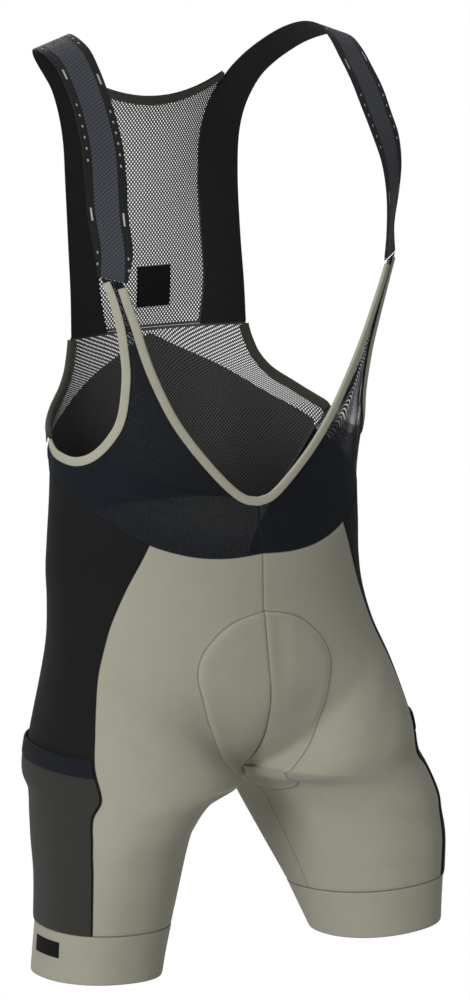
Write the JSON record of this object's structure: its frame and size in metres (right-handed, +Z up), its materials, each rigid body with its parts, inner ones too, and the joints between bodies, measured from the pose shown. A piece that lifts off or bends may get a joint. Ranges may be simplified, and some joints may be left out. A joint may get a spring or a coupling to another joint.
{
  "type": "cycling bib shorts",
  "caption": "Stretch cycling shorts with a padded seat, cargo pockets and leg grippers, held up by a see-through mesh bib with webbing straps and a pocketed mesh back.",
  "frame": {"origin": "the middle between the two straps, at the height where they rest on the wearer's shoulders", "axes": "+Z up, the front faces -Y, the wearer's left is +X"},
  "size_m": [0.43, 0.2844, 0.8872],
  "materials": {
    "taupe_knit": "smooth matt stretch knit",
    "black_knit": "smooth matt stretch knit",
    "gripper_elastic": "fine ribbed elastic",
    "pocket_knit": "open stretch knit",
    "pocket_hem": "folded stretch hem",
    "black_trim": "matt woven tape",
    "pad_foam": "brushed foam pad",
    "bib_mesh": "see-through stretch mesh",
    "beige_binding": "folded elastic",
    "dark_binding": "folded elastic",
    "strap_webbing": "ribbed elastic webbing",
    "back_mesh": "see-through open mesh",
    "rear_pocket_knit": "smooth stretch knit"
  },
  "bodies": {
    "root": {"front_leg_R": "taupe_knit", "front_leg_L": "taupe_knit", "side_panel_R": "black_knit", "side_panel_L": "black_knit", "seat_R": "taupe_knit", "seat_L": "taupe_knit", "leg_gripper_R": "gripper_elastic", "leg_gripper_L": "gripper_elastic", "leg_pocket_R": "pocket_knit", "leg_pocket_L": "pocket_knit", "leg_pocket_hem_R": "pocket_hem", "leg_pocket_hem_L": "pocket_hem", "hem_tab": "black_trim", "chamois_pad": "pad_foam", "bib_front_R": "bib_mesh", "bib_front_L": "bib_mesh", "neckline_binding": "beige_binding", "armhole_binding_R": "beige_binding", "armhole_binding_L": "beige_binding", "back_armhole_binding_R": "dark_binding", "back_armhole_binding_L": "dark_binding", "back_neck_binding": "dark_binding", "strap_R": "strap_webbing", "strap_L": "strap_webbing", "back_upper": "back_mesh", "back_lower": "back_mesh", "rear_pocket": "rear_pocket_knit", "rear_pocket_hem": "rear_pocket_knit", "rear_tape_middle_R": "black_trim", "rear_tape_middle_L": "black_trim", "rear_tape_side_R": "black_trim", "rear_tape_side_L": "black_trim", "back_label": "black_trim"}
  },
  "joints": []
}
